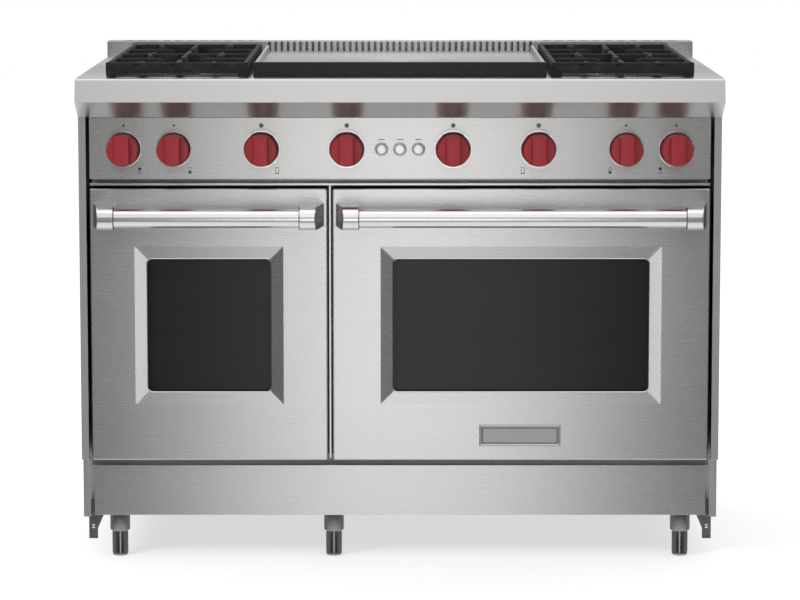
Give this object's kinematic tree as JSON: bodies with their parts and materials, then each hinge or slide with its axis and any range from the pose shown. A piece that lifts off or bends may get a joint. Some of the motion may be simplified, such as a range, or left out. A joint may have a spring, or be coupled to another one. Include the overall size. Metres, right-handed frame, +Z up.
{
  "type": "freestanding gas range",
  "caption": "Wide freestanding stainless gas range: cast grates over sealed burners, a central griddle, red knobs, and a small and a large oven with drop-down glass doors.",
  "frame": {"origin": "centre of the whole object's footprint, on the floor", "axes": "+X to the right as seen from the front, +Y to the back (the doors face -Y), +Z up"},
  "size_m": [1.216, 0.779, 0.965],
  "materials": {
    "stainless": "brushed stainless sheet",
    "chrome": "polished",
    "cast_iron": "matt black cast iron",
    "black_enamel": "black vitreous enamel",
    "oven_enamel": "speckled blue-black oven enamel",
    "burner_alloy": "satin cast alloy",
    "knob_red": "dark red satin gloss",
    "door_glass": "black tinted glass",
    "griddle_steel": "ground steel plate",
    "wire": "bright wire",
    "leg_steel": "dark turned steel",
    "galvanised": "galvanised sheet",
    "brass": "machined brass"
  },
  "bodies": {
    "range_body": {"left_side_panel": "stainless", "right_side_panel": "stainless", "back_panel": "galvanised", "base_pan": "galvanised", "front_frame": "stainless", "kick_panel": "stainless", "kick_bracket_left": "galvanised", "kick_bracket_right": "galvanised", "cooktop_deck": "stainless", "backguard": "stainless", "control_panel": "stainless", "gas_manifold": "brass", "burner_pan_left": "black_enamel", "burner_pan_right": "black_enamel", "griddle_plate": "griddle_steel", "burner_head_1": "burner_alloy", "burner_cap_1": "black_enamel", "burner_head_2": "burner_alloy", "burner_cap_2": "black_enamel", "burner_head_3": "burner_alloy", "burner_cap_3": "black_enamel", "burner_head_4": "burner_alloy", "burner_cap_4": "black_enamel", "small_oven_liner": "oven_enamel", "large_oven_liner": "oven_enamel"},
    "small_door": {"small_door_skin": "stainless", "small_door_glass": "door_glass", "small_door_liner": "black_enamel", "small_handle_bar": "stainless", "small_handle_post_left": "stainless", "small_handle_post_right": "stainless"},
    "small_rack": {"small_oven_rack": "wire"},
    "large_door": {"large_door_skin": "stainless", "large_door_glass": "door_glass", "large_door_liner": "black_enamel", "large_handle_bar": "stainless", "large_handle_post_left": "stainless", "large_handle_post_right": "stainless"},
    "large_rack": {"large_oven_rack": "wire"},
    "knob_1_body": {"knob_1": "knob_red"},
    "knob_2_body": {"knob_2": "knob_red"},
    "knob_3_body": {"knob_3": "knob_red"},
    "knob_4_body": {"knob_4": "knob_red"},
    "knob_5_body": {"knob_5": "knob_red"},
    "knob_6_body": {"knob_6": "knob_red"},
    "knob_7_body": {"knob_7": "knob_red"},
    "knob_8_body": {"knob_8": "knob_red"},
    "light_button_body": {"light_button": "chrome"},
    "fan_button_body": {"fan_button": "chrome"},
    "clean_button_body": {"clean_button": "chrome"},
    "fan_wheel_body": {"fan_wheel": "wire"},
    "grate_left_body": {"grate_left": "cast_iron"},
    "grate_right_body": {"grate_right": "cast_iron"},
    "griddle_tray_body": {"griddle_tray": "black_enamel"},
    "foot_1_body": {"foot_1": "leg_steel"},
    "foot_2_body": {"foot_2": "leg_steel"},
    "foot_3_body": {"foot_3": "leg_steel"},
    "foot_4_body": {"foot_4": "leg_steel"},
    "foot_5_body": {"foot_5": "leg_steel"},
    "foot_6_body": {"foot_6": "leg_steel"}
  },
  "joints": [
    {"name": "small_door_hinge", "type": "hinge", "parent": "range_body", "child": "small_door", "pos_m": [-0.3625, -0.2795, 0.215], "axis": [1, 0, 0], "range_deg": [0, 90]},
    {"name": "large_door_hinge", "type": "hinge", "parent": "range_body", "child": "large_door", "pos_m": [0.22975, -0.2795, 0.215], "axis": [1, 0, 0], "range_deg": [0, 90]},
    {"name": "knob_1_turn", "type": "hinge", "parent": "range_body", "child": "knob_1_body", "pos_m": [-0.522, -0.2975, 0.796], "axis": [0, -1, 0], "range_deg": [0, 230]},
    {"name": "knob_2_turn", "type": "hinge", "parent": "range_body", "child": "knob_2_body", "pos_m": [-0.427, -0.2975, 0.796], "axis": [0, -1, 0], "range_deg": [0, 230]},
    {"name": "knob_3_turn", "type": "hinge", "parent": "range_body", "child": "knob_3_body", "pos_m": [-0.262, -0.2975, 0.796], "axis": [0, -1, 0], "range_deg": [0, 290]},
    {"name": "knob_4_turn", "type": "hinge", "parent": "range_body", "child": "knob_4_body", "pos_m": [-0.1005, -0.2975, 0.796], "axis": [0, -1, 0], "range_deg": [0, 290]},
    {"name": "knob_5_turn", "type": "hinge", "parent": "range_body", "child": "knob_5_body", "pos_m": [0.1005, -0.2975, 0.796], "axis": [0, -1, 0], "range_deg": [0, 290]},
    {"name": "knob_6_turn", "type": "hinge", "parent": "range_body", "child": "knob_6_body", "pos_m": [0.262, -0.2975, 0.796], "axis": [0, -1, 0], "range_deg": [0, 290]},
    {"name": "knob_7_turn", "type": "hinge", "parent": "range_body", "child": "knob_7_body", "pos_m": [0.427, -0.2975, 0.796], "axis": [0, -1, 0], "range_deg": [0, 230]},
    {"name": "knob_8_turn", "type": "hinge", "parent": "range_body", "child": "knob_8_body", "pos_m": [0.522, -0.2975, 0.796], "axis": [0, -1, 0], "range_deg": [0, 230]},
    {"name": "light_button_press", "type": "slide", "parent": "range_body", "child": "light_button_body", "axis": [0, 1, 0], "range_m": [0, 0.003], "stiffness_N_per_m": 400},
    {"name": "fan_button_press", "type": "slide", "parent": "range_body", "child": "fan_button_body", "axis": [0, 1, 0], "range_m": [0, 0.003], "stiffness_N_per_m": 400},
    {"name": "clean_button_press", "type": "slide", "parent": "range_body", "child": "clean_button_body", "axis": [0, 1, 0], "range_m": [0, 0.003], "stiffness_N_per_m": 400},
    {"name": "fan_wheel_spin", "type": "hinge", "parent": "range_body", "child": "fan_wheel_body", "pos_m": [0.22975, 0.2795, 0.4628], "axis": [0, -1, 0], "continuous": true},
    {"name": "grate_left_lift", "type": "slide", "parent": "range_body", "child": "grate_left_body", "axis": [0, 0, 1], "range_m": [0, 0.15]},
    {"name": "grate_right_lift", "type": "slide", "parent": "range_body", "child": "grate_right_body", "axis": [0, 0, 1], "range_m": [0, 0.15]},
    {"name": "griddle_tray_lift", "type": "slide", "parent": "range_body", "child": "griddle_tray_body", "axis": [0, 0, 1], "range_m": [0, 0.08]},
    {"name": "small_rack_slide", "type": "slide", "parent": "range_body", "child": "small_rack", "axis": [0, -1, 0], "range_m": [0, 0.025]},
    {"name": "large_rack_slide", "type": "slide", "parent": "range_body", "child": "large_rack", "axis": [0, -1, 0], "range_m": [0, 0.025]},
    {"name": "foot_1_turn", "type": "hinge", "parent": "range_body", "child": "foot_1_body", "pos_m": [-0.5425, -0.2185, 0], "axis": [0, 0, 1], "continuous": true},
    {"name": "foot_2_turn", "type": "hinge", "parent": "range_body", "child": "foot_2_body", "pos_m": [-0.128, -0.2185, 0], "axis": [0, 0, 1], "continuous": true},
    {"name": "foot_3_turn", "type": "hinge", "parent": "range_body", "child": "foot_3_body", "pos_m": [0.5425, -0.2185, 0], "axis": [0, 0, 1], "continuous": true},
    {"name": "foot_4_turn", "type": "hinge", "parent": "range_body", "child": "foot_4_body", "pos_m": [-0.5425, 0.2935, 0], "axis": [0, 0, 1], "continuous": true},
    {"name": "foot_5_turn", "type": "hinge", "parent": "range_body", "child": "foot_5_body", "pos_m": [-0.128, 0.2935, 0], "axis": [0, 0, 1], "continuous": true},
    {"name": "foot_6_turn", "type": "hinge", "parent": "range_body", "child": "foot_6_body", "pos_m": [0.5425, 0.2935, 0], "axis": [0, 0, 1], "continuous": true}
  ]
}
